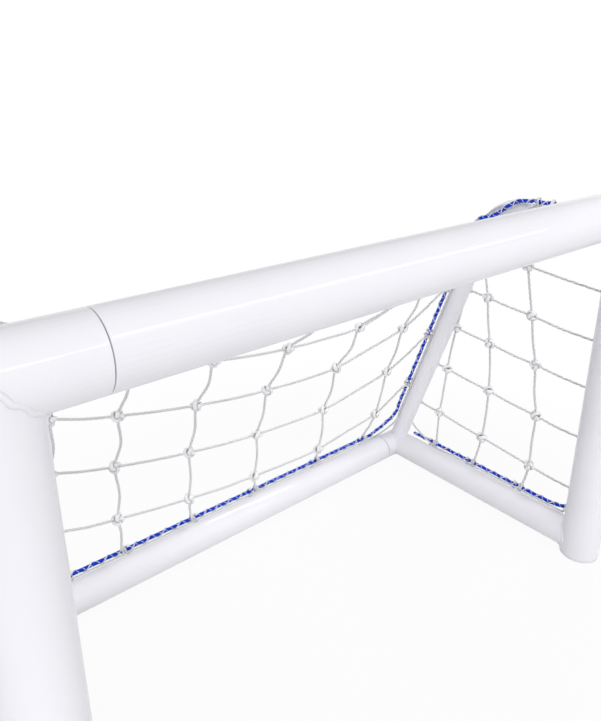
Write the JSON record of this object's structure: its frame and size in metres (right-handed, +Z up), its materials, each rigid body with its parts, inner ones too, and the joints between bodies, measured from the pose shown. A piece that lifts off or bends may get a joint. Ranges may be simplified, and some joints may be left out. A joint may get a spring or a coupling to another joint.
{
  "type": "mini soccer goal",
  "caption": "Small soccer goal: white tube frame with a leaning rear hoop on each side, a knotted net tied to it by a blue and white border rope, and push joints with snap buttons.",
  "frame": {"origin": "middle of the goal's footprint, on the floor", "axes": "+X along the crossbar to the right frame seen from the mouth, +Y from the mouth to the rear ground bar, +Z up"},
  "size_m": [1.2006, 0.6236, 0.8],
  "materials": {
    "white_powder_coat": "gloss",
    "zinc_plated_steel": "satin",
    "spring_steel": "satin",
    "white_plastic": "satin",
    "white_net_cord": "matte",
    "blue_white_rope": "matte"
  },
  "bodies": {
    "goal_frame": {"border_rope_back": "blue_white_rope", "border_rope_crossbar": "blue_white_rope", "border_rope_left": "blue_white_rope", "border_rope_right": "blue_white_rope", "corner_stub_left": "white_powder_coat", "corner_stub_right": "white_powder_coat", "crossbar": "white_powder_coat", "foot_cap_left": "white_plastic", "foot_cap_right": "white_plastic", "leaf_spring_crossbar_left": "spring_steel", "leaf_spring_crossbar_right": "spring_steel", "leaf_spring_rear_left": "spring_steel", "leaf_spring_rear_right": "spring_steel", "net_back": "white_net_cord", "net_hook_crossbar_1": "white_plastic", "net_hook_crossbar_2": "white_plastic", "net_hook_crossbar_3": "white_plastic", "net_hook_crossbar_4": "white_plastic", "net_hook_hoop_left_1": "white_plastic", "net_hook_hoop_left_2": "white_plastic", "net_hook_hoop_left_3": "white_plastic", "net_hook_hoop_left_4": "white_plastic", "net_hook_hoop_left_5": "white_plastic", "net_hook_hoop_right_1": "white_plastic", "net_hook_hoop_right_2": "white_plastic", "net_hook_hoop_right_3": "white_plastic", "net_hook_hoop_right_4": "white_plastic", "net_hook_hoop_right_5": "white_plastic", "net_hook_rear_1": "white_plastic", "net_hook_rear_2": "white_plastic", "net_hook_rear_3": "white_plastic", "net_hook_rear_4": "white_plastic", "net_hook_rear_5": "white_plastic", "net_hook_rear_6": "white_plastic", "net_hook_side_left_1": "white_plastic", "net_hook_side_left_2": "white_plastic", "net_hook_side_left_3": "white_plastic", "net_hook_side_right_1": "white_plastic", "net_hook_side_right_2": "white_plastic", "net_hook_side_right_3": "white_plastic", "net_left": "white_net_cord", "net_right": "white_net_cord", "post_left": "white_powder_coat", "post_right": "white_powder_coat", "rear_ground_bar": "white_powder_coat", "rear_hoop_left": "white_powder_coat", "rear_hoop_right": "white_powder_coat", "rear_stub_left": "white_powder_coat", "rear_stub_right": "white_powder_coat", "side_ground_tube_left": "white_powder_coat", "side_ground_tube_right": "white_powder_coat", "spigot_crossbar_left": "zinc_plated_steel", "spigot_crossbar_right": "zinc_plated_steel", "spigot_rear_left": "zinc_plated_steel", "spigot_rear_right": "zinc_plated_steel"},
    "snap_button_crossbar_left": {"snap_button_crossbar_left": "zinc_plated_steel"},
    "snap_button_crossbar_right": {"snap_button_crossbar_right": "zinc_plated_steel"},
    "snap_button_rear_left": {"snap_button_rear_left": "zinc_plated_steel"},
    "snap_button_rear_right": {"snap_button_rear_right": "zinc_plated_steel"}
  },
  "joints": [
    {"name": "snap_button_crossbar_left_press", "type": "slide", "parent": "goal_frame", "child": "snap_button_crossbar_left", "axis": [0, 0, 1], "range_m": [0, 0.006], "stiffness_N_per_m": 1200, "springref_m": -0.004, "deforming": ["leaf_spring_crossbar_left"]},
    {"name": "snap_button_crossbar_right_press", "type": "slide", "parent": "goal_frame", "child": "snap_button_crossbar_right", "axis": [0, 0, 1], "range_m": [0, 0.006], "stiffness_N_per_m": 1200, "springref_m": -0.004, "deforming": ["leaf_spring_crossbar_right"]},
    {"name": "snap_button_rear_left_press", "type": "slide", "parent": "goal_frame", "child": "snap_button_rear_left", "axis": [0, -1, 0], "range_m": [0, 0.006], "stiffness_N_per_m": 1200, "springref_m": -0.004, "deforming": ["leaf_spring_rear_left"]},
    {"name": "snap_button_rear_right_press", "type": "slide", "parent": "goal_frame", "child": "snap_button_rear_right", "axis": [0, -1, 0], "range_m": [0, 0.006], "stiffness_N_per_m": 1200, "springref_m": -0.004, "deforming": ["leaf_spring_rear_right"]}
  ]
}
